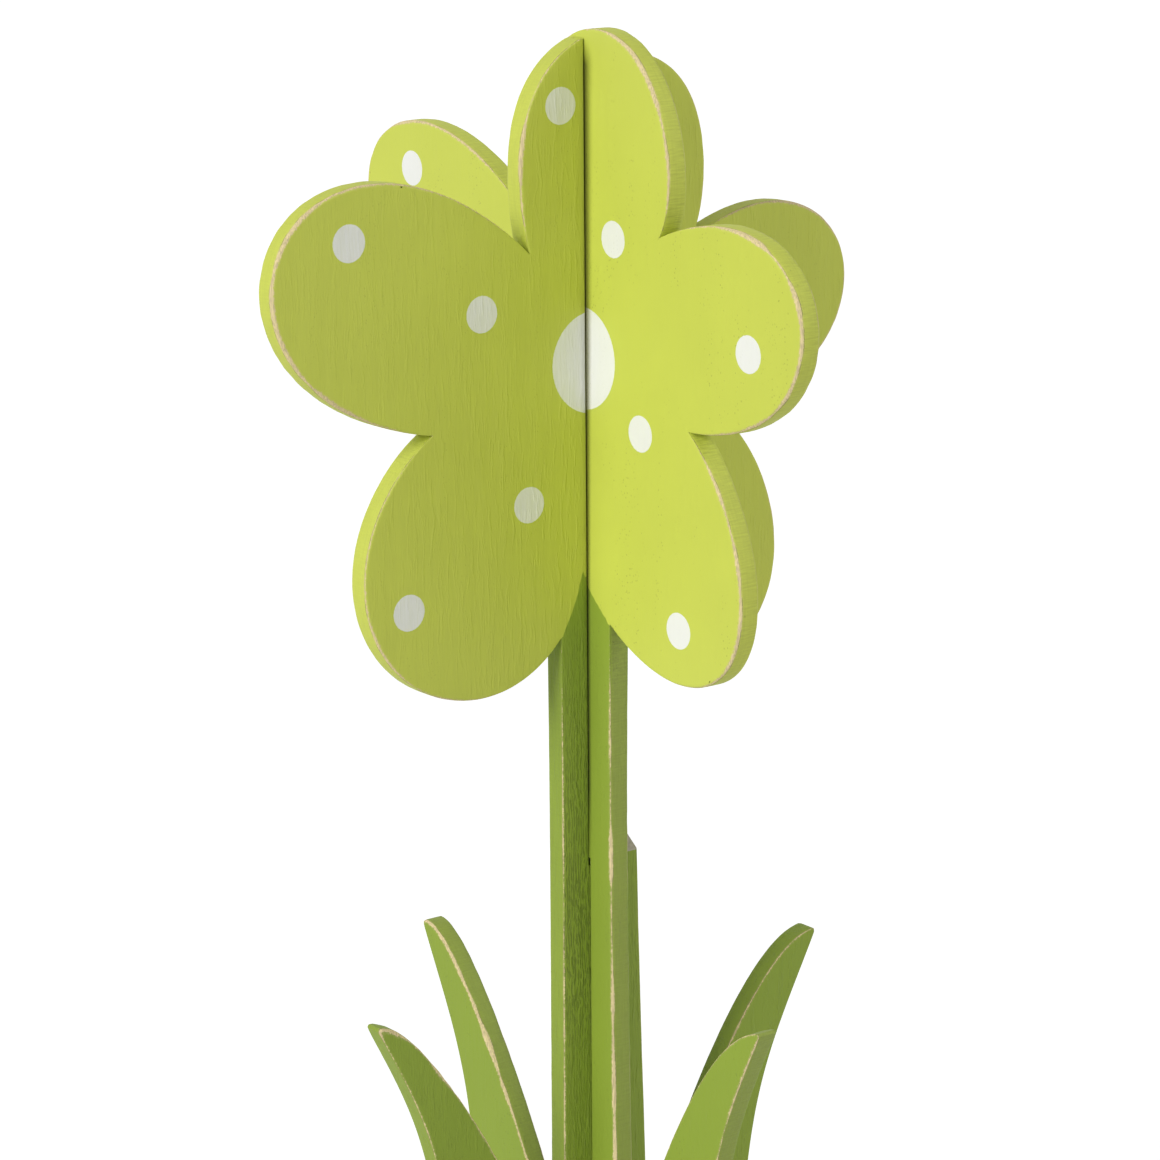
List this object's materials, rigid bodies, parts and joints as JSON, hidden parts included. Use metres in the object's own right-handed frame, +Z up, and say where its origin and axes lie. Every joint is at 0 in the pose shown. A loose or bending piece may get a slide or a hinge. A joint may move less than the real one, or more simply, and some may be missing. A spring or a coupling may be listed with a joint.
{
  "type": "free-standing slotted wooden flower",
  "caption": "Free-standing flower ornament made of crossed, slotted boards that lift apart: rounded petals, a straight stem and curved leaves that run into a flat foot.",
  "frame": {"origin": "on the floor, where the middles of the boards cross", "axes": "+Z up the stem; +X along the base board, to its right as seen from its front face (-Y); the cross board's right-hand side points along -Y"},
  "size_m": [0.2684, 0.2664, 0.6393],
  "materials": {
    "base_board_paint": "matte brushed paint, lime green petals and darker leaf green stem, sanded through to the wood along the edges",
    "cross_board_paint": "matte brushed paint, lime green petals and darker leaf green stem, sanded through to the wood along the edges"
  },
  "bodies": {
    "base_board": {"base_board": "base_board_paint"},
    "cross_board": {"cross_board": "cross_board_paint"}
  },
  "joints": [
    {"name": "cross_board_lift", "type": "slide", "parent": "base_board", "child": "cross_board", "axis": [0, 0, 1], "range_m": [0, 0.65]}
  ]
}
